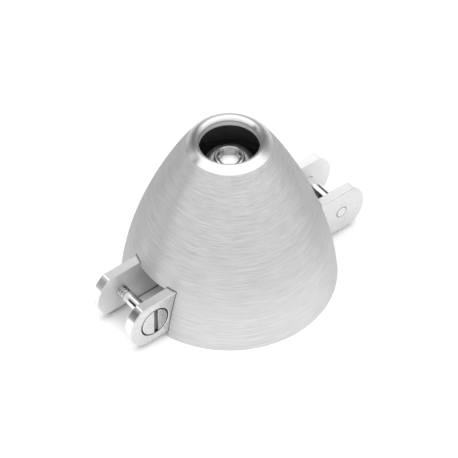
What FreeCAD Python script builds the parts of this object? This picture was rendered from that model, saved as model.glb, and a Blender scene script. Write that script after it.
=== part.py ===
import FreeCAD, Part
import math
import os

# Propeller spinner for folding blades, open nose ("cool nose") pattern.
# Frame: origin at the centre of the base rim, +Z towards the nose,
# +X along the blade yoke, Y across it. Millimetres.

V = FreeCAD.Vector
Z = V(0, 0, 1)
O = V(0, 0, 0)

# ---- spinner cap ---------------------------------------------------------
cap_r = 25.0            # radius of the sharp base edge
cap_outer = [           # (radius, height) of the turned outside
    (25.00, 0.0), (24.77, 2.0), (24.48, 4.0), (24.12, 6.0), (23.72, 8.0),
    (22.74, 12.0), (21.55, 16.0), (20.17, 20.0), (18.65, 24.0),
    (16.96, 28.0), (15.11, 32.0), (13.09, 36.0), (11.42, 39.0)]
crease_r = 9.80         # outer edge of the rolled lip
crease_z = 41.74
lip_points = [(9.35, 42.17), (8.90, 42.56), (8.40, 42.89), (7.90, 43.06),
              (7.48, 42.98), (7.14, 42.68)]    # rolled lip between the crease and the opening
hole_r = 6.90           # nose opening
hole_z = 42.20
hole_land_z = 40.70     # lower end of the opening's straight wall
wall_t = 1.70
cavity_z = 5.6          # where the parallel wall starts above the base
seat_r = 22.00          # thickened ring that bears on the back plate
seat_top_z = 4.50
register_r = 22.95      # bore that centres the cap on the back plate
carrier_r = 15.80       # threaded seat for the carrier, in the cap's wall
carrier_seat_z0 = 22.80
carrier_seat_z1 = 27.50 # shoulder the carrier's ring is screwed up to
slot_half = 7.52        # two side slots, open at the base
slot_top_z = 13.28      # over the ears
tongue_half = 4.75      # the wall hangs lower between the ears
tongue_z = 12.40

# ---- nose carrier: ring, three arms and a domed hub ----------------------
ring_inner_r = 13.60
ring_z0 = 23.50
arm_half = 2.00
arm_z0 = 24.50
arm_z1 = 27.50
arm_angles = (-10.0, 110.0, 230.0)
nose_hub_r = 5.90
nose_hub_z0 = 25.00
nose_hub_top_z = 36.70
nose_hub_flat_r = 4.10  # flat round the screw head, domed outside it
nose_hub_dome_h = 1.60
nose_hub_hole_r = 2.65
nose_cbore_r = 3.58
seat_z = 34.90          # seat of the centre screw

# ---- blade yoke ----------------------------------------------------------
yoke_half = 7.40        # half width over the ears
gap_half = 4.94         # half width of the blade gap
gap_end_x = 14.50       # inner end of the blade gap
gap_corner_r = 2.00
yoke_bot_z = 1.60
yoke_top_z = 13.10
pivot_x = 27.35         # blade screw axis
pivot_z = 7.30
ear_r = 6.75            # round of the ear about the blade screw
ear_chamfer = 0.20
hub_r = 11.0
bush_clear = 0.05       # clearance round the back plate's boss
hub_recess_z = 6.75     # roof of the recess over the boss
hub_bore_r = 5.15

# ---- blade screws, M3 with a flat slotted head ---------------------------
bs_r = 1.50
bs_head_r = 3.58
bs_head_t = 1.25
bs_slot_w = 1.10
bs_slot_d = 0.75
bs_slot_off = 0.20      # slots sit a little off centre
bs_plain_hole_r = 1.60
bs_cbore_r = 3.84
bs_cbore_chamfer = 0.14
bs_end_chamfer = 0.08

# ---- back plate ----------------------------------------------------------
plate_r = 22.90
plate_t = 1.60
boss_r = 8.50
boss_flat = 6.60        # half distance over the boss's driving flats
boss_top_z = 6.50
cone_r0 = 6.60          # conical seat radius at z = 0
cone_r1 = 5.90          # conical seat radius at the boss's top
window_r = 3.50         # cooling windows
window_pcr = 15.50
window_angles = (45.0, 90.0, 135.0, 225.0, 270.0, 315.0)

# ---- split collet --------------------------------------------------------
collet_z0 = 0.50
collet_z1 = 24.0
collet_thread_r = 5.00  # M10 x 1
shaft_r = 3.00          # 6 mm motor shaft
shaft_depth_z = 14.50
slit_w = 0.80
slit_top_z = 12.0
tap_r = 2.50            # M5 for the centre screw
tap_bot_z = 16.20

# ---- clamp washer and nut ------------------------------------------------
washer_r = 9.00
washer_t = 1.20
washer_hole_r = 5.15
nut_af = 16.0
nut_h = 6.00

# ---- centre screw, M5 ----------------------------------------------------
cs_head_r = 3.48
cs_head_h = 3.00
cs_round = 0.45          # well rounded rim
cs_len = 18.0
cs_hex_af = 4.50
cs_hex_depth = 2.10
cs_hex_turn = 21.5      # corner direction, degrees from +X
cs_mouth_r = 2.72       # chamfered mouth of the socket


def cyl(r, z0, z1, x=0.0, y=0.0):
    return Part.makeCylinder(r, z1 - z0, V(x, y, z0), Z)


def cyl_y(r, y0, y1, x, z):
    """Cylinder along Y from y0 to y1."""
    d = V(0, 1 if y1 > y0 else -1, 0)
    return Part.makeCylinder(r, abs(y1 - y0), V(x, y0, z), d)


def cone_y(r0, r1, y0, y1, x, z):
    d = V(0, 1 if y1 > y0 else -1, 0)
    return Part.makeCone(r0, r1, abs(y1 - y0), V(x, y0, z), d)


def box(x0, x1, y0, y1, z0, z1):
    return Part.makeBox(x1 - x0, y1 - y0, z1 - z0, V(x0, y0, z0))


def revolve(edges):
    face = Part.Face(Part.Wire(edges))
    solid = face.revolve(O, Z, 360)
    return solid.Solids[0] if solid.ShapeType != "Solid" else solid


def line(a, b):
    return Part.makeLine(V(a[0], 0, a[1]), V(b[0], 0, b[1]))


def spline(points):
    c = Part.BSplineCurve()
    c.interpolate([V(r, 0, z) for r, z in points])
    return c


def hex_prism(af, z0, z1, turn=0.0):
    """Hexagonal prism, flats facing +Y and -Y when turn is 0."""
    rc = af / math.sqrt(3.0)
    pts = [V(rc * math.cos(math.radians(60 * i + turn)),
             rc * math.sin(math.radians(60 * i + turn)), z0) for i in range(7)]
    pts[6] = pts[0]
    return Part.Face(Part.makePolygon(pts)).extrude(V(0, 0, z1 - z0))


def one_solid(shape):
    shape = shape.removeSplitter()
    assert len(shape.Solids) == 1, "expected a single solid"
    return shape.Solids[0]


# --------------------------------------------------------------------------
# spinner_cap: one turned shell, thickened inside where the carrier screws in
# --------------------------------------------------------------------------
outer_curve = spline(cap_outer + [(crease_r, crease_z)])


def outer_at(z):
    """Outside radius and unit inward normal (r, z) at height z."""
    lo, hi = outer_curve.FirstParameter, outer_curve.LastParameter
    for _ in range(60):
        mid = 0.5 * (lo + hi)
        if outer_curve.value(mid).z < z:
            lo = mid
        else:
            hi = mid
    t = outer_curve.tangent(0.5 * (lo + hi))[0]
    n = V(-t.z, 0, t.x)
    if n.x > 0:
        n = n * -1.0
    return outer_curve.value(0.5 * (lo + hi)).x, n


def inner_point(z):
    """Point of the cavity wall, wall_t inside the outside at height z."""
    r, n = outer_at(z)
    return (r + n.x * wall_t, z + n.z * wall_t)


def inner_r(z):
    """Cavity radius at height z."""
    lo, hi = z, min(z + 2.5, crease_z)
    for _ in range(60):
        mid = 0.5 * (lo + hi)
        if inner_point(mid)[1] < z:
            lo = mid
        else:
            hi = mid
    return inner_point(0.5 * (lo + hi))[0]


def inner_edge(z_hi, z_lo, n=9):
    pts = [(inner_r(z_hi + (z_lo - z_hi) * i / (n - 1.0)),
            z_hi + (z_lo - z_hi) * i / (n - 1.0)) for i in range(n)]
    return spline(pts).toShape(), pts[0], pts[-1]


lip = spline([(crease_r, crease_z)] + lip_points + [(hole_r, hole_z)]).toShape()
upper, up_top, up_bot = inner_edge(hole_land_z, carrier_seat_z1, 11)
lower, lo_top, lo_bot = inner_edge(carrier_seat_z0, cavity_z, 11)

spinner_cap = revolve([
    line((register_r, 0), (cap_r, 0)),
    outer_curve.toShape(),
    lip,
    line((hole_r, hole_z), (hole_r, hole_land_z)),
    line((hole_r, hole_land_z), up_top),
    upper,
    line(up_bot, (carrier_r, carrier_seat_z1)),
    line((carrier_r, carrier_seat_z1), (carrier_r, carrier_seat_z0)),
    line((carrier_r, carrier_seat_z0), lo_top),
    lower,
    line(lo_bot, (seat_r, seat_top_z)),
    line((seat_r, seat_top_z), (seat_r, plate_t)),
    line((seat_r, plate_t), (register_r, plate_t)),
    line((register_r, plate_t), (register_r, 0)),
])
for side in (-1, 1):
    x0, x1 = sorted((side * 14.0, side * 30.0))
    spinner_cap = spinner_cap.cut(
        box(x0, x1, -slot_half, slot_half, -1.0, tongue_z))
    for y0, y1 in ((-slot_half, -tongue_half), (tongue_half, slot_half)):
        spinner_cap = spinner_cap.cut(box(x0, x1, y0, y1, 1.0, slot_top_z))
spinner_cap = one_solid(spinner_cap)

# --------------------------------------------------------------------------
# nose_carrier: screwed into the cap from behind, takes the centre screw
# --------------------------------------------------------------------------
nose_carrier = cyl(carrier_r, ring_z0, carrier_seat_z1).cut(
    cyl(ring_inner_r, ring_z0 - 1, carrier_seat_z1 + 1))
for a in arm_angles:
    arm = box(nose_hub_hole_r + 0.5, ring_inner_r + 0.6, -arm_half, arm_half,
              arm_z0, arm_z1)
    arm.rotate(O, Z, a)
    nose_carrier = nose_carrier.fuse(arm)
dome_w = nose_hub_r - nose_hub_flat_r
dome_end_z = nose_hub_top_z - nose_hub_dome_h
dome = spline([(nose_hub_flat_r + dome_w * math.sin(t),
                nose_hub_top_z - nose_hub_dome_h * (1 - math.cos(t)))
               for t in [math.pi / 2 * i / 8.0 for i in range(9)]])
nose_hub = revolve([
    line((nose_hub_hole_r, nose_hub_z0), (nose_hub_r - 0.3, nose_hub_z0)),
    line((nose_hub_r - 0.3, nose_hub_z0), (nose_hub_r, nose_hub_z0 + 0.3)),
    line((nose_hub_r, nose_hub_z0 + 0.3), (nose_hub_r, dome_end_z)),
    dome.toShape(),
    line((nose_hub_flat_r, nose_hub_top_z), (nose_cbore_r, nose_hub_top_z)),
    line((nose_cbore_r, nose_hub_top_z), (nose_cbore_r, seat_z)),
    line((nose_cbore_r, seat_z), (nose_hub_hole_r, seat_z)),
    line((nose_hub_hole_r, seat_z), (nose_hub_hole_r, nose_hub_z0)),
])
nose_carrier = nose_carrier.fuse(nose_hub).cut(
    cyl(nose_hub_hole_r, ring_z0 - 1, seat_z + 0.5))
nose_carrier = one_solid(nose_carrier)

# --------------------------------------------------------------------------
# blade_yoke: one milled bar, two eared ends and a round hub
# --------------------------------------------------------------------------


def ear_bar():
    """Bar whose two ends are rounded about the blade screws."""
    dz = yoke_top_z - pivot_z
    dx = math.sqrt(ear_r ** 2 - dz ** 2)
    dzb = pivot_z - yoke_bot_z
    dxb = math.sqrt(ear_r ** 2 - dzb ** 2)
    y = -yoke_half
    p = [V(-(pivot_x + dx), y, yoke_top_z), V(pivot_x + dx, y, yoke_top_z),
         V(pivot_x + dxb, y, yoke_bot_z), V(-(pivot_x + dxb), y, yoke_bot_z)]
    right = Part.Arc(p[1], V(pivot_x + ear_r, y, pivot_z), p[2]).toShape()
    left = Part.Arc(p[3], V(-(pivot_x + ear_r), y, pivot_z), p[0]).toShape()
    wire = Part.Wire([Part.makeLine(p[0], p[1]), right,
                      Part.makeLine(p[2], p[3]), left])
    return Part.Face(wire).extrude(V(0, 2 * yoke_half, 0))


blade_yoke = ear_bar()
blade_yoke = blade_yoke.makeChamfer(ear_chamfer, blade_yoke.Edges)
blade_yoke = blade_yoke.fuse(cyl(hub_r, yoke_bot_z, yoke_top_z))
for side in (-1, 1):
    x0, x1 = sorted((side * gap_end_x, side * 40.0))
    gap = box(x0, x1, -gap_half, gap_half, 0, 20)
    inner = [e for e in gap.Edges
             if abs(e.Vertexes[0].X - side * gap_end_x) < 1e-6
             and abs(e.Vertexes[1].X - side * gap_end_x) < 1e-6
             and abs(e.Vertexes[0].Z - e.Vertexes[1].Z) > 1]
    gap = gap.makeFillet(gap_corner_r, inner)
    blade_yoke = blade_yoke.cut(gap)
    # head side of the screw: -Y on the -X end, +Y on the +X end
    s = side
    blade_yoke = blade_yoke.cut(
        cyl_y(bs_cbore_r, s * (yoke_half - bs_head_t), s * (yoke_half + 1),
              side * pivot_x, pivot_z))
    blade_yoke = blade_yoke.cut(
        cone_y(bs_cbore_r, bs_cbore_r + bs_cbore_chamfer,
               s * (yoke_half - bs_cbore_chamfer), s * yoke_half,
               side * pivot_x, pivot_z))
    blade_yoke = blade_yoke.cut(
        cyl_y(bs_plain_hole_r, 0, s * yoke_half, side * pivot_x, pivot_z))
    blade_yoke = blade_yoke.cut(
        cyl_y(bs_r, 0, -s * (yoke_half + 1), side * pivot_x, pivot_z))
    # countersunk mouth of the tapped hole
    blade_yoke = blade_yoke.cut(
        cone_y(bs_r, bs_r + bs_end_chamfer, -s * (yoke_half - bs_end_chamfer),
               -s * yoke_half, side * pivot_x, pivot_z))
recess = cyl(boss_r + bush_clear, 0, hub_recess_z).common(
    box(-20, 20, -(boss_flat + bush_clear), boss_flat + bush_clear, -1, 20))
blade_yoke = blade_yoke.cut(recess)
blade_yoke = blade_yoke.cut(cyl(hub_bore_r, 0, 20))
blade_yoke = one_solid(blade_yoke)

# --------------------------------------------------------------------------
# blade screws
# --------------------------------------------------------------------------


def blade_screw(side):
    """Screw whose flat head is on the +Y face (side +1) or -Y face (-1)."""
    s = side
    x, z = side * pivot_x, pivot_z
    y_top = s * yoke_half
    y_seat = s * (yoke_half - bs_head_t)
    c = bs_end_chamfer
    head = cyl_y(bs_head_r, y_seat, y_top, x, z)
    rim = [e for e in head.Edges if len(e.Vertexes) == 1
           and abs(e.Vertexes[0].Y - y_top) < 1e-6]
    head = head.makeChamfer(0.12, rim)
    shank = cyl_y(bs_r, y_seat, -s * (yoke_half - c), x, z)
    tip = cone_y(bs_r, bs_r - c, -s * (yoke_half - c), -s * yoke_half, x, z)
    screw = head.fuse(shank).fuse(tip)
    y0, y1 = sorted((y_top + s, y_top - s * bs_slot_d))
    xs = x - s * bs_slot_off
    slot = box(xs - bs_slot_w / 2, xs + bs_slot_w / 2, y0, y1, z - 5, z + 5)
    return one_solid(screw.cut(slot))


blade_screw_left = blade_screw(-1)
blade_screw_right = blade_screw(1)

# --------------------------------------------------------------------------
# back_plate: disc with cooling windows and a keyed, coned boss
# --------------------------------------------------------------------------
back_plate = cyl(plate_r, 0, plate_t)
boss = cyl(boss_r, 0, boss_top_z).common(
    box(-20, 20, -boss_flat, boss_flat, -1, 20))
back_plate = back_plate.fuse(boss)
back_plate = back_plate.cut(
    Part.makeCone(cone_r0, cone_r1, boss_top_z, O, Z))
for a in window_angles:
    back_plate = back_plate.cut(
        cyl(window_r, -1, plate_t + 1,
            window_pcr * math.cos(math.radians(a)),
            window_pcr * math.sin(math.radians(a))))
back_plate = one_solid(back_plate)

# --------------------------------------------------------------------------
# split_collet: cone below, M10 x 1 shank above, four slits
# --------------------------------------------------------------------------


def cone_r(z):
    return cone_r0 + (cone_r1 - cone_r0) * z / boss_top_z


split_collet = revolve([
    line((shaft_r, collet_z0), (cone_r(collet_z0), collet_z0)),
    line((cone_r(collet_z0), collet_z0), (cone_r1, boss_top_z)),
    line((cone_r1, boss_top_z), (collet_thread_r, boss_top_z)),
    line((collet_thread_r, boss_top_z), (collet_thread_r, collet_z1 - 0.6)),
    line((collet_thread_r, collet_z1 - 0.6),
         (collet_thread_r - 0.6, collet_z1)),
    line((collet_thread_r - 0.6, collet_z1), (tap_r, collet_z1)),
    line((tap_r, collet_z1), (tap_r, tap_bot_z)),
    line((tap_r, tap_bot_z), (0, tap_bot_z)),
    line((0, tap_bot_z), (0, shaft_depth_z)),
    line((0, shaft_depth_z), (shaft_r, shaft_depth_z)),
    line((shaft_r, shaft_depth_z), (shaft_r, collet_z0)),
])
for a in (45.0, 135.0):
    slit = box(-9, 9, -slit_w / 2, slit_w / 2, -1, slit_top_z)
    slit.rotate(O, Z, a)
    split_collet = split_collet.cut(slit)
split_collet = one_solid(split_collet)

# --------------------------------------------------------------------------
# clamp_washer and clamp_nut, drawn up on the collet against the hub
# --------------------------------------------------------------------------
washer_top_z = yoke_top_z + washer_t
clamp_washer = cyl(washer_r, yoke_top_z, washer_top_z).cut(
    cyl(washer_hole_r, yoke_top_z - 1, washer_top_z + 1))
clamp_washer = one_solid(clamp_washer)

nut_top_z = washer_top_z + nut_h
nut_rc = nut_af / math.sqrt(3.0)
clamp_nut = hex_prism(nut_af, washer_top_z, nut_top_z)
crown = revolve([
    line((0, washer_top_z), (nut_af / 2, washer_top_z)),
    line((nut_af / 2, washer_top_z), (nut_rc + 0.1, washer_top_z + 0.75)),
    line((nut_rc + 0.1, washer_top_z + 0.75), (nut_rc + 0.1, nut_top_z - 0.75)),
    line((nut_rc + 0.1, nut_top_z - 0.75), (nut_af / 2, nut_top_z)),
    line((nut_af / 2, nut_top_z), (0, nut_top_z)),
    line((0, nut_top_z), (0, washer_top_z)),
])
clamp_nut = clamp_nut.common(crown).cut(
    cyl(collet_thread_r, washer_top_z - 1, nut_top_z + 1))
clamp_nut = one_solid(clamp_nut)

# --------------------------------------------------------------------------
# centre_screw: round polished head with a hexagon socket, M5
# --------------------------------------------------------------------------
head_z = seat_z + cs_head_h
c = cs_round
k = c * (1 - math.sqrt(0.5))
centre_screw = revolve([
    line((0, seat_z), (cs_head_r, seat_z)),
    line((cs_head_r, seat_z), (cs_head_r, head_z - c)),
    Part.Arc(V(cs_head_r, 0, head_z - c), V(cs_head_r - k, 0, head_z - k),
             V(cs_head_r - c, 0, head_z)).toShape(),
    line((cs_head_r - c, head_z), (0, head_z)),
    line((0, head_z), (0, seat_z)),
])
hex_rc = cs_hex_af / math.sqrt(3.0)
socket = hex_prism(cs_hex_af, head_z - cs_hex_depth, head_z + 1, cs_hex_turn)
mouth = Part.makeCone(cs_mouth_r - 1.0, cs_mouth_r + 0.5, 1.5,
                      V(0, 0, head_z - 1.0), Z)
centre_screw = centre_screw.cut(socket).cut(mouth)
tip_z = seat_z - cs_len
centre_screw = centre_screw.fuse(cyl(tap_r, tip_z + 0.5, seat_z))
centre_screw = centre_screw.fuse(
    Part.makeCone(tap_r - 0.5, tap_r, 0.5, V(0, 0, tip_z), Z))
centre_screw = one_solid(centre_screw)

# --------------------------------------------------------------------------
nodes = {
    "spinner_cap": spinner_cap,
    "nose_carrier": nose_carrier,
    "blade_yoke": blade_yoke,
    "blade_screw_left": blade_screw_left,
    "blade_screw_right": blade_screw_right,
    "back_plate": back_plate,
    "split_collet": split_collet,
    "clamp_washer": clamp_washer,
    "clamp_nut": clamp_nut,
    "centre_screw": centre_screw,
}

os.makedirs("parts", exist_ok=True)
for name, shape in nodes.items():
    assert shape.isValid(), name
    shape.exportStep("parts/%s.step" % name)
    b = shape.BoundBox
    print("%-18s vol %9.1f  x %7.2f %7.2f  y %7.2f %7.2f  z %7.2f %7.2f" % (
        name, shape.Volume, b.XMin, b.XMax, b.YMin, b.YMax, b.ZMin, b.ZMax))
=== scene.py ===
import math
import bpy
import bmesh
from mathutils import Vector, Matrix


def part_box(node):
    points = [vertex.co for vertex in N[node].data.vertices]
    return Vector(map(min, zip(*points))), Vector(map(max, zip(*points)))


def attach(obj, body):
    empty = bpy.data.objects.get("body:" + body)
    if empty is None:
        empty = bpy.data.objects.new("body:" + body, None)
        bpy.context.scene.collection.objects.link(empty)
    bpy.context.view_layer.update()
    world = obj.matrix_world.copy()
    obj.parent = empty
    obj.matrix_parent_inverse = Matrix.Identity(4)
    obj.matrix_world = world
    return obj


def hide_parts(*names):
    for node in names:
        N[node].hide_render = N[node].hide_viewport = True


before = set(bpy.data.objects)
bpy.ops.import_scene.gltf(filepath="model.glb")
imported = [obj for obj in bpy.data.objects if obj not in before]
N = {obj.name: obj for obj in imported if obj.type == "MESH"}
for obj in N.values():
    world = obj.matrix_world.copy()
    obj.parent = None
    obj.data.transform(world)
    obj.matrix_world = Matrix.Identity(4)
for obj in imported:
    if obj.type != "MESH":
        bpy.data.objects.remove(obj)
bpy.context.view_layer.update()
MM = 0.001
scene = bpy.context.scene
scene.view_settings.view_transform = "Standard"
scene.view_settings.look = "None"

# ------------------------------------------------------------------ camera
AZ = math.radians(-38.5)
EL = math.radians(47.2)
DIST = 1.0
OX, OY = 0.095 * MM, -9.291 * MM
right = Vector((math.cos(AZ), math.sin(AZ), 0))
back = Vector((math.sin(AZ) * math.cos(EL), -math.cos(AZ) * math.cos(EL), math.sin(EL)))
up = Vector((-math.sin(AZ) * math.sin(EL), math.cos(AZ) * math.sin(EL), math.cos(EL)))
cam = bpy.data.cameras.new("camera")
cam.sensor_width = 36.0
cam.lens = 4.327 * 1000.0 * 36.0 / 458.0
cam.clip_start = 0.01
cam.clip_end = 20.0
cam_ob = bpy.data.objects.new("camera", cam)
scene.collection.objects.link(cam_ob)
m = Matrix((right, up, back)).transposed().to_4x4()
m.translation = -OX * right - OY * up + DIST * back
cam_ob.matrix_world = m
scene.camera = cam_ob


# ------------------------------------------------------------ node helpers
class G:
    """Short hand for building a node tree."""

    def __init__(self, nt):
        self.nt = nt

    def new(self, kind, **props):
        n = self.nt.nodes.new(kind)
        for k, v in props.items():
            setattr(n, k, v)
        return n

    def put(self, sock, v):
        if isinstance(v, bpy.types.NodeSocket):
            self.nt.links.new(v, sock)
        else:
            sock.default_value = v

    def m(self, op, a, b=None, c=None, clamp=False):
        n = self.new("ShaderNodeMath", operation=op, use_clamp=clamp)
        for i, v in enumerate((a, b, c)):
            if v is not None:
                self.put(n.inputs[i], v)
        return n.outputs[0]

    def smooth(self, v, lo, hi, out0=0.0, out1=1.0):
        n = self.new("ShaderNodeMapRange", interpolation_type="SMOOTHSTEP")
        self.put(n.inputs["Value"], v)
        n.inputs["From Min"].default_value = lo
        n.inputs["From Max"].default_value = hi
        n.inputs["To Min"].default_value = out0
        n.inputs["To Max"].default_value = out1
        return n.outputs["Result"]

    def lin(self, v, lo, hi, out0=0.0, out1=1.0):
        n = self.new("ShaderNodeMapRange")
        self.put(n.inputs["Value"], v)
        n.inputs["From Min"].default_value = lo
        n.inputs["From Max"].default_value = hi
        n.inputs["To Min"].default_value = out0
        n.inputs["To Max"].default_value = out1
        return n.outputs["Result"]

    def xyz(self, v):
        n = self.new("ShaderNodeSeparateXYZ")
        self.put(n.inputs[0], v)
        return n.outputs[0], n.outputs[1], n.outputs[2]

    def vec(self, x, y, z):
        n = self.new("ShaderNodeCombineXYZ")
        for i, v in enumerate((x, y, z)):
            self.put(n.inputs[i], v)
        return n.outputs[0]

    def noise(self, v, scale, detail=2.0, rough=0.5):
        n = self.new("ShaderNodeTexNoise")
        self.put(n.inputs["Vector"], v)
        n.inputs["Scale"].default_value = scale
        n.inputs["Detail"].default_value = detail
        n.inputs["Roughness"].default_value = rough
        return n.outputs["Fac"]

    def grey(self, v):
        n = self.new("ShaderNodeCombineColor")
        for i in range(3):
            self.put(n.inputs[i], v)
        return n.outputs[0]

    def bump(self, height, strength, dist):
        n = self.new("ShaderNodeBump")
        self.put(n.inputs["Height"], height)
        n.inputs["Strength"].default_value = strength
        n.inputs["Distance"].default_value = dist
        return n.outputs["Normal"]


def material(name):
    mt = bpy.data.materials.new(name)
    mt.use_nodes = True
    nt = mt.node_tree
    b = nt.nodes.get("Principled BSDF")
    b.inputs["Metallic"].default_value = 1.0
    return mt, G(nt), b


def polar(g, centre=(0.0, 0.0), axis="Z"):
    """(unit x, unit y, radius, along) about an axis, from object coordinates."""
    tc = g.new("ShaderNodeTexCoord")
    x, y, z = g.xyz(tc.outputs["Object"])
    if axis == "Y":
        x, y, z = x, z, y
    if centre != (0.0, 0.0):
        x = g.m("SUBTRACT", x, centre[0])
        y = g.m("SUBTRACT", y, centre[1])
    r = g.m("SQRT", g.m("ADD", g.m("MULTIPLY", x, x), g.m("MULTIPLY", y, y)))
    r = g.m("MAXIMUM", r, 1e-5)
    return g.m("DIVIDE", x, r), g.m("DIVIDE", y, r), r, z


def radial_tangent(g, b, rot):
    t = g.new("ShaderNodeTangent", direction_type="RADIAL", axis="Z")
    g.nt.links.new(t.outputs[0], b.inputs["Tangent"])
    b.inputs["Anisotropic Rotation"].default_value = rot


# --------------------------------------------------------------- materials
def brushed_cap():
    mt, g, b = material("cap_brushed")
    ux, uy, r, z = polar(g)
    # fine lines that run round the axis, each a few millimetres long
    fine = g.noise(g.vec(g.m("MULTIPLY", ux, 5.0), g.m("MULTIPLY", uy, 5.0),
                         g.m("MULTIPLY", z, 5000.0)), 1.0, 2.0, 0.6)
    wide = g.noise(g.vec(g.m("MULTIPLY", ux, 1.6), g.m("MULTIPLY", uy, 1.6),
                         g.m("MULTIPLY", z, 3300.0)), 1.0, 1.0, 0.5)
    mix = g.m("ADD", g.m("MULTIPLY", fine, 0.7), g.m("MULTIPLY", wide, 0.3))
    col = g.lin(mix, 0.25, 0.75, CAP_BASE - 0.11, CAP_BASE + 0.11)
    # painted light: lighter towards the skirt, the same all round, standing in for light bounced up from the
    # floor; not a known finish
    col = g.m("ADD", col, g.smooth(z, 0.002, 0.024, 0.12, 0.0))
    g.put(b.inputs["Base Color"], g.grey(col))
    g.put(b.inputs["Roughness"], g.lin(fine, 0.25, 0.75, CAP_ROUGH + 0.04, CAP_ROUGH - 0.04))
    b.inputs["Metallic"].default_value = CAP_METAL
    b.inputs["Anisotropic"].default_value = 1.0
    radial_tangent(g, b, 0.25)
    g.put(b.inputs["Normal"], g.bump(fine, 0.25, 0.00003))
    return mt


def turned(name, base, rough, aniso=0.5, amp=0.04, freq=1500.0, centre=(0, 0), axis="Z",
           metal=1.0, across=1.5, rim=False):
    mt, g, b = material(name)
    b.inputs["Metallic"].default_value = metal
    ux, uy, r, z = polar(g, centre, axis)
    s = g.m("MULTIPLY", g.m("ADD", r, z), freq)
    f = g.noise(g.vec(g.m("MULTIPLY", ux, across), g.m("MULTIPLY", uy, across), s), 1.0, 2.0, 0.5)
    col = g.lin(f, 0.25, 0.75, base - amp, base + amp)
    # painted shade: the top of the bore darker, in a band at the lip's inner edge
    if rim:
        col = g.m("MULTIPLY", col, g.smooth(z, 0.04165, 0.04215, 1.0, 0.45))
    g.put(b.inputs["Base Color"], g.grey(col))
    g.put(b.inputs["Roughness"], g.lin(f, 0.25, 0.75, rough * 1.1, rough * 0.9))
    b.inputs["Anisotropic"].default_value = aniso
    if axis == "Z":
        radial_tangent(g, b, 0.25)
    g.put(b.inputs["Normal"], g.bump(f, 0.15, 0.00002))
    return mt


def milled(name, base, rough, amp=0.03, metal=1.0, light_tilt_x=0.0, edge=0.0, fade=0.0,
           far_metal=0.0, light_tilt_y=0.0, low=0.0, contact_shade=0.0):
    """Milled and tumbled: fine scratches that run across the part, a light grain over them."""
    mt, g, b = material(name)
    b.inputs["Metallic"].default_value = metal
    tc = g.new("ShaderNodeTexCoord")
    x, y, z = g.xyz(tc.outputs["Object"])
    p = g.m("ADD", g.m("MULTIPLY", x, 0.75), g.m("MULTIPLY", z, 0.66))
    q = g.m("SUBTRACT", g.m("MULTIPLY", z, 0.75), g.m("MULTIPLY", x, 0.66))
    grain = g.noise(g.vec(g.m("MULTIPLY", x, 1500.0), g.m("MULTIPLY", y, 1500.0),
                          g.m("MULTIPLY", z, 1500.0)), 1.0, 3.0, 0.6)
    streak = g.noise(g.vec(g.m("MULTIPLY", p, 700.0), g.m("MULTIPLY", y, 2600.0),
                           g.m("MULTIPLY", q, 3600.0)), 1.0, 2.0, 0.5)
    cloud = g.noise(g.vec(g.m("MULTIPLY", x, 260.0), g.m("MULTIPLY", y, 260.0),
                          g.m("MULTIPLY", z, 260.0)), 1.0, 1.0, 0.5)
    f = g.m("ADD", g.m("ADD", g.m("MULTIPLY", grain, 0.3), g.m("MULTIPLY", streak, 0.45)),
            g.m("MULTIPLY", cloud, 0.25))
    col = g.lin(f, 0.3, 0.7, base - amp, base + amp)
    # painted light: lighter towards +X, standing in for uneven light on one finish
    if light_tilt_x:
        col = g.m("ADD", col, g.m("MULTIPLY", x, light_tilt_x))
    # painted light: lighter towards +Y, standing in for uneven light on one finish
    if light_tilt_y:
        col = g.m("ADD", col, g.m("MULTIPLY", y, light_tilt_y))
    # painted shade: darker towards the bottom, from z 11 mm down to 4 mm
    if low:
        col = g.m("MULTIPLY", col, g.smooth(z, 0.004, 0.011, low, 1.0))
    if contact_shade:                                     # painted shadow: dark line where the ear goes under the cap, not a real gap
        rr = g.m("SQRT", g.m("ADD", g.m("MULTIPLY", x, x), g.m("MULTIPLY", y, y)))
        col = g.m("MULTIPLY", col, g.smooth(rr, contact_shade - 0.0001, contact_shade + 0.0005, 0.15, 1.0))
    g.put(b.inputs["Base Color"], g.grey(col))
    g.put(b.inputs["Roughness"], g.lin(f, 0.3, 0.7, rough * 1.15, rough * 0.85))
    n = g.new("ShaderNodeBump")
    g.put(n.inputs["Height"], f)
    n.inputs["Strength"].default_value = 0.15
    n.inputs["Distance"].default_value = 0.00001
    if edge:
        bv = g.new("ShaderNodeBevel")
        bv.samples = 4
        bv.inputs["Radius"].default_value = edge
        g.nt.links.new(bv.outputs[0], n.inputs["Normal"])
    g.put(b.inputs["Normal"], n.outputs["Normal"])
    # painted shadow: darker low down, below z 2.8 mm
    if fade:
        g.put(b.inputs["Base Color"], g.grey(g.m("MULTIPLY", col, g.smooth(z, 0.0016, 0.0028, fade, 1.0))))
    if far_metal:
        g.put(b.inputs["Metallic"], g.lin(y, -0.004, 0.004, metal, far_metal))
    return mt


CAP_BASE, CAP_ROUGH, CAP_METAL = 0.53, 0.44, 0.62
cap_mat = brushed_cap()
lip_mat = turned("cap_lip_polished", 0.95, 0.30, 1.0, 0.03, 2500.0, across=5.0)
bore_mat = turned("cap_nose_bore", 0.84, 0.45, 0.0, 0.05, 4000.0, metal=0.5, across=0.5, rim=True)
inside_mat = turned("cap_inside_turned", 0.42, 0.50, 0.3, 0.03, metal=0.5)
edge_mat = turned("cap_cut_faces", 0.60, 0.30, 0.2, 0.03)
yoke_mat = milled("yoke_milled", 0.60, 0.26, 0.03, 0.85, 0.0, 0.00022)
# painted light: a lighter copy of the yoke's finish for the -X ends, lighter towards +X, with painted shade low
# down
yoke_edge = milled("yoke_edges", 0.86, 0.20, 0.02, 1.0, 1.6, 0.00022, far_metal=0.80, low=0.80)
CAP_R_TOP = 0.0224                                  # cap radius at the top of the slots
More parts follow.
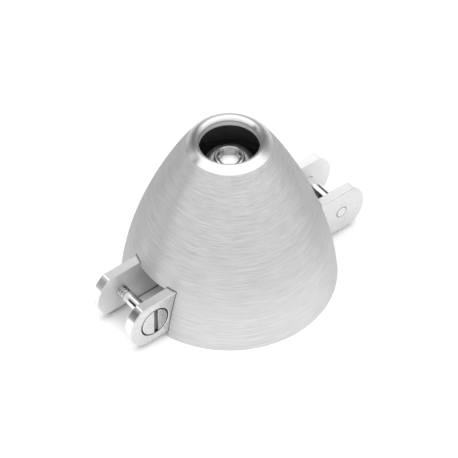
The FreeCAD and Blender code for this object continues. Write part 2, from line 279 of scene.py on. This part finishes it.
# the base colour falls off along X and Y to stand in for uneven light on one finish
yoke_top = milled("yoke_tops", 0.65, 0.34, 0.03, 0.35, 5.6, 0.00022, light_tilt_y=9.0, contact_shade=CAP_R_TOP)
# painted light: a lighter copy of the yoke's finish for the faces of the blade gap, with painted shadow low down
yoke_gap = milled("yoke_gap_faces", 0.74, 0.34, 0.03, 0.52, fade=0.3)
yoke_in_mat = milled("yoke_hidden", 0.50, 0.35, 0.04, 0.7)
yoke_dark = milled("yoke_seat_shadow", 0.06, 0.5, 0.01, 0.3)
carrier_mat = turned("carrier_turned", 0.62, 0.30, 0.4, 0.03)
# painted shade: the carrier except its boss near black, standing for the deep shade inside the cap
carrier_painted_shade = turned("carrier_arms_painted_shade", 0.12, 0.45, 0.2, 0.02, metal=0.6)
steel_mat = milled("screw_steel", 0.72, 0.22, 0.05, 0.9, 0.0)
# painted shade: a dark copy of the screw steel for the slot and the chamfer at the threaded end
steel_painted_shade = milled("screw_slot_painted_shade", 0.26, 0.5, 0.03, 0.4)
shank_mat = milled("screw_shank", 0.90, 0.12, 0.02)
polish_mat = turned("centre_screw_polished", 0.93, 0.09, 0.2, 0.01)
plate_mat = turned("plate_turned", 0.88, 0.35, 0.4, 0.03, metal=0.25)
collet_mat = turned("collet_steel", 0.50, 0.30, 0.3, 0.03)


def assign(ob, mats, pick):
    ob.data.materials.clear()
    for x in mats:
        ob.data.materials.append(x)
    for p in ob.data.polygons:
        p.material_index = pick(p)


def cap_pick(p):
    c, n = p.center, p.normal
    r = math.hypot(c.x, c.y)
    out = (c.x * n.x + c.y * n.y) / max(r, 1e-9)
    if r < 0.00692 and abs(n.z) < 0.3 and c.z > 0.0405:
        return 2                                    # wall of the nose opening
    if c.z > 0.04174:
        return 1                                    # lip
    if c.z < 0.0136 and abs(c.y) < 0.0078 and r > 0.0195 and \
            (abs(n.y) > 0.99 or abs(n.z) > 0.99):
        return 4                                    # slot walls
    if out > 0 and abs(n.z) < 0.9 and c.z > 1e-6 and r > 0.0070:
        return 0
    return 3


assign(N["spinner_cap"], [cap_mat, lip_mat, bore_mat, inside_mat, edge_mat], cap_pick)
assign(N["nose_carrier"], [carrier_mat, carrier_painted_shade],
       lambda p: 0 if math.hypot(p.center.x, p.center.y) < 0.0062 and p.center.z > 0.030 else 1)


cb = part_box("blade_screw_left")
PX = abs((cb[0].x + cb[1].x) / 2)
PZ = (cb[0].z + cb[1].z) / 2
HALF = max(abs(cb[0].y), abs(cb[1].y))


def yoke_pick(p):
    c, n = p.center, p.normal
    d = math.hypot(abs(c.x) - PX, c.z - PZ)
    if 0.0033 < d < 0.0040 and abs(n.y) < 0.3 and abs(c.x) > 0.020:
        return 2                                    # wall round a screw head
    if abs(c.x) < 0.0140:
        return 1
    if abs(n.y) > 0.99 and abs(abs(c.y) - 0.00494) < 0.0002:
        return 4                                    # faces of the blade gap
    if n.z > 0.99 and c.z > 0.0130:
        return 5                                    # flat tops of the ears
    if abs(n.y) < 0.5 and c.x > 0.0140:
        return 5                                    # +X ends: painted light, given the top faces' duller copy of the finish; one finish on the real part
    if abs(n.y) < 0.5:
        return 3                                    # top and round ends
    return 0


assign(N["blade_yoke"], [yoke_mat, yoke_in_mat, yoke_dark, yoke_edge, yoke_gap, yoke_top], yoke_pick)
# painted shade on the socket walls and painted light on the socket floor: shaded and lit copies of the screw's
# steel
socket_wall_painted_shade = turned("socket_wall_painted_shade", 0.36, 0.25, 0.0, 0.05)
socket_floor_painted_light = turned("socket_floor_painted_light", 0.95, 0.50, 0.0, 0.02, metal=0.3)


def screw_pick(p):
    r = math.hypot(p.center.x, p.center.y)
    if r < 0.0029 and 0.0350 < p.center.z < 0.0379:
        return 2 if (abs(p.normal.z) > 0.9 and p.center.z < 0.0370) else 1
    return 0


assign(N["centre_screw"], [polish_mat, socket_wall_painted_shade, socket_floor_painted_light], screw_pick)
for node, mt in (("back_plate", plate_mat),
                 ("split_collet", collet_mat), ("clamp_nut", collet_mat),
                 ("clamp_washer", collet_mat)):
    assign(N[node], [mt], lambda p: 0)


# ---------------------------------------------------------- blade screws
HEAD_R, HEAD_T, SHANK_R = 3.56, 1.25, 1.50
SLOT_W, SLOT_D, SLOT_OFF = 1.06, 0.80, 0.32
PITCH, DEPTH = 0.66, 0.40


def blade_screw(name, sx):
    """A slotted flush screw: head with a worn slot, plain shank, cut thread. sx is -1 or +1."""
    bm = bmesh.new()
    length = HALF * 2000.0

    def place(u, v, w):
        # u along X, v along Z, w from the head's face inwards
        return Vector((sx * PX + u * MM, sx * (HALF - w * MM), PZ + v * MM))

    def ring(r, w, n=96):
        return [bm.verts.new(place(r * math.cos(2 * math.pi * i / n),
                                   r * math.sin(2 * math.pi * i / n), w)) for i in range(n)]

    def skin(a, b, mi=0):
        n = len(a)
        for i in range(n):
            f = bm.faces.new((a[i], a[(i + 1) % n], b[(i + 1) % n], b[i]))
            f.material_index = mi
            f.smooth = True

    # body under the slot, shank and thread
    n = 96
    floor_ring = ring(HEAD_R, SLOT_D, n)
    f = bm.faces.new(floor_ring)
    f.material_index = 1
    last = floor_ring
    for r, w in ((HEAD_R, HEAD_T - 0.08), (HEAD_R - 0.08, HEAD_T), (SHANK_R + 0.12, HEAD_T),
                 (SHANK_R, HEAD_T + 0.14)):
        nxt = ring(r, w, n)
        skin(last, nxt, 0)
        last = nxt
    t0 = length - 4.55
    for r, w in ((SHANK_R, HEAD_T + 0.3), (SHANK_R, t0 - 0.25)):
        nxt = ring(r, w, n)
        skin(last, nxt, 2)
        last = nxt
    steps = int((length - 0.05 - t0) / 0.0417)
    for k in range(steps + 1):
        w = t0 + (length - 0.05 - t0) * k / steps
        fade = min(1.0, (w - t0) / 0.5, max(0.0, (length - 0.3 - w) / 0.4))
        row = []
        for i in range(n):
            a = 2 * math.pi * i / n
            ph = (w / PITCH - i / n) % 1.0
            cut = max(0.0, min(1.0, 1.15 - abs(ph - 0.5) * 2.6))
            r = SHANK_R - 0.02 - DEPTH * cut * fade
            if w > length - 0.12:
                r = min(r, SHANK_R - 0.03 - (w - (length - 0.12)) * 0.5)
            row.append(bm.verts.new(place(r * math.cos(a), r * math.sin(a), w)))
        skin(last, row, 3)
        last = row
    nxt = ring(SHANK_R - 0.22, length, n)
    skin(last, nxt, 1)
    last = nxt
    f = bm.faces.new(last)
    f.material_index = 4

    # the two halves of the head's face, with worn edges along the slot and the rim
    half = SLOT_W / 2
    for side in (-1, 1):
        def loop(R, s, w, m=48):
            s = s - side * sx * SLOT_OFF
            t = math.acos(s / R)
            pts = []
            for i in range(m + 1):
                a = -t + 2 * t * i / m
                pts.append(bm.verts.new(place(side * R * math.cos(a), R * math.sin(a), w)))
            return pts
        l0 = loop(HEAD_R - 0.20, half + 0.11, 0.0)
        l1 = loop(HEAD_R - 0.09, half + 0.045, 0.03)
        l2 = loop(HEAD_R - 0.02, half + 0.01, 0.10)
        l3 = loop(HEAD_R, half, 0.22)
        l4 = loop(HEAD_R, half, SLOT_D)
        bm.faces.new(l0)
        for p0, p1, mi in ((l0, l1, 0), (l1, l2, 0), (l2, l3, 0), (l3, l4, 0)):
            m = len(p0)
            for i in range(m):
                f = bm.faces.new((p0[i], p0[(i + 1) % m], p1[(i + 1) % m], p1[i]))
                wall = i == m - 1
                f.material_index = 1 if (wall and p0 is not l0 and p0 is not l1) else mi
                f.smooth = True
    bmesh.ops.recalc_face_normals(bm, faces=bm.faces)
    me = bpy.data.meshes.new(name)
    bm.to_mesh(me)
    bm.free()
    ob = bpy.data.objects.new(name, me)
    scene.collection.objects.link(ob)
    for x in (head_mat[sx], steel_painted_shade, shank_mat, thread_mat, end_mat):
        me.materials.append(x)
    return ob


def head_material(name, sx):
    """Faced head: rings round the screw's own axis under a tumbled grain."""
    mt, g, b = material(name)
    tc = g.new("ShaderNodeTexCoord")
    x, y, z = g.xyz(tc.outputs["Object"])
    u = g.m("SUBTRACT", x, sx * PX)
    v = g.m("SUBTRACT", z, PZ)
    r = g.m("SQRT", g.m("ADD", g.m("MULTIPLY", u, u), g.m("MULTIPLY", v, v)))
    rings = g.noise(g.vec(g.m("MULTIPLY", r, 2600.0), g.m("MULTIPLY", u, 150.0),
                          g.m("MULTIPLY", v, 150.0)), 1.0, 2.0, 0.5)
    grain = g.noise(g.vec(g.m("MULTIPLY", x, 1300.0), g.m("MULTIPLY", y, 1300.0),
                          g.m("MULTIPLY", z, 1300.0)), 1.0, 3.0, 0.65)
    f = g.m("ADD", g.m("MULTIPLY", rings, 0.45), g.m("MULTIPLY", grain, 0.55))
    # the +X half of the head is made darker, by up to 30 %
    far = g.smooth(g.m("MULTIPLY", u, 1.0), -0.0002, 0.0006)
    base = g.lin(f, 0.3, 0.7, 0.52, 0.66)
    g.put(b.inputs["Base Color"], g.grey(g.m("MULTIPLY", base, g.m("SUBTRACT", 1.0, g.m("MULTIPLY", far, 0.30)))))
    g.put(b.inputs["Roughness"], g.lin(f, 0.3, 0.7, 0.32, 0.24))
    b.inputs["Metallic"].default_value = 0.9
    g.put(b.inputs["Normal"], g.bump(f, 0.3, 0.00003))
    return mt


head_mat = {-1: head_material("screw_head_left", -1), 1: head_material("screw_head_right", 1)}
end_mat = milled("screw_end", 0.64, 0.26, 0.04, 0.85)
thread_mat = milled("screw_thread", 0.50, 0.14, 0.04)
for name, sx in (("blade_screw_left", -1), ("blade_screw_right", 1)):
    piece = blade_screw(name + "_detail", sx)
    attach(piece, "root")
    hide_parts(name)

# ------------------------------------------------------------ floor, light
bpy.ops.mesh.primitive_plane_add(size=8.0, location=(0, 0, -0.00001))
floor = bpy.context.object
floor.name = "floor"
fm = bpy.data.materials.new("floor_white")
fm.use_nodes = True
fb = fm.node_tree.nodes["Principled BSDF"]
fb.inputs["Base Color"].default_value = (0.93, 0.93, 0.93, 1)
fb.inputs["Roughness"].default_value = 0.9
fb.inputs["Specular IOR Level"].default_value = 0.2
floor.data.materials.append(fm)

W_SIDE, W_TOWARD, W_RIGHT, W_LEFT = 0.17, 0.86, 0.12, -1.05
W_BAND, W_TOP, W_LOWER = 1.00, 1.50, 0.23
W_T0, W_T1, W_Z0, W_Z1 = -0.58, 0.02, 0.73, 0.80
SUN_E = 1.6
w = bpy.data.worlds.new("world")
scene.world = w
w.use_nodes = True
g = G(w.node_tree)
bg = w.node_tree.nodes["Background"]
tc = g.new("ShaderNodeTexCoord")
x, y, z = g.xyz(tc.outputs["Generated"])
h = g.m("MAXIMUM", g.m("SQRT", g.m("ADD", g.m("MULTIPLY", x, x), g.m("MULTIPLY", y, y))), 1e-4)
fwd = g.m("DIVIDE", g.m("ADD", g.m("MULTIPLY", x, -math.sin(AZ)),
                        g.m("MULTIPLY", y, math.cos(AZ))), h)
rgt = g.m("DIVIDE", g.m("ADD", g.m("MULTIPLY", x, math.cos(AZ)),
                        g.m("MULTIPLY", y, math.sin(AZ))), h)


def add(*vals):
    t = vals[0]
    for v in vals[1:]:
        t = g.m("ADD", t, v)
    return t


def mul(*vals):
    t = vals[0]
    for v in vals[1:]:
        t = g.m("MULTIPLY", t, v)
    return t


toward = g.smooth(g.m("MULTIPLY", fwd, -1.0), W_T0, W_T1)
on_right = g.smooth(rgt, 0.2, 0.95)
on_left = g.smooth(g.m("MULTIPLY", rgt, -1.0), 0.982, 0.999)
side = g.m("MAXIMUM", add(W_SIDE, mul(toward, W_TOWARD), mul(on_right, W_RIGHT), mul(on_left, W_LEFT)), 0.02)
low = mul(g.m("SUBTRACT", 1.0, g.smooth(fwd, -0.2, 0.4)), W_LOWER)
band = g.smooth(add(z, low), W_Z0, W_Z1)
top = g.smooth(z, 0.74, 0.90)
lum = add(mul(side, g.m("SUBTRACT", 1.0, band)), mul(band, W_BAND), mul(top, W_TOP - W_BAND))
g.put(bg.inputs[0], g.grey(lum))
bg.inputs[1].default_value = 1.0

sun = bpy.data.lights.new("overhead", "SUN")
sun.energy = SUN_E
sun.angle = math.radians(70)
sun_ob = bpy.data.objects.new("overhead", sun)
scene.collection.objects.link(sun_ob)
sun_ob.location = (0, 0, 1)
sun_ob.visible_glossy = False
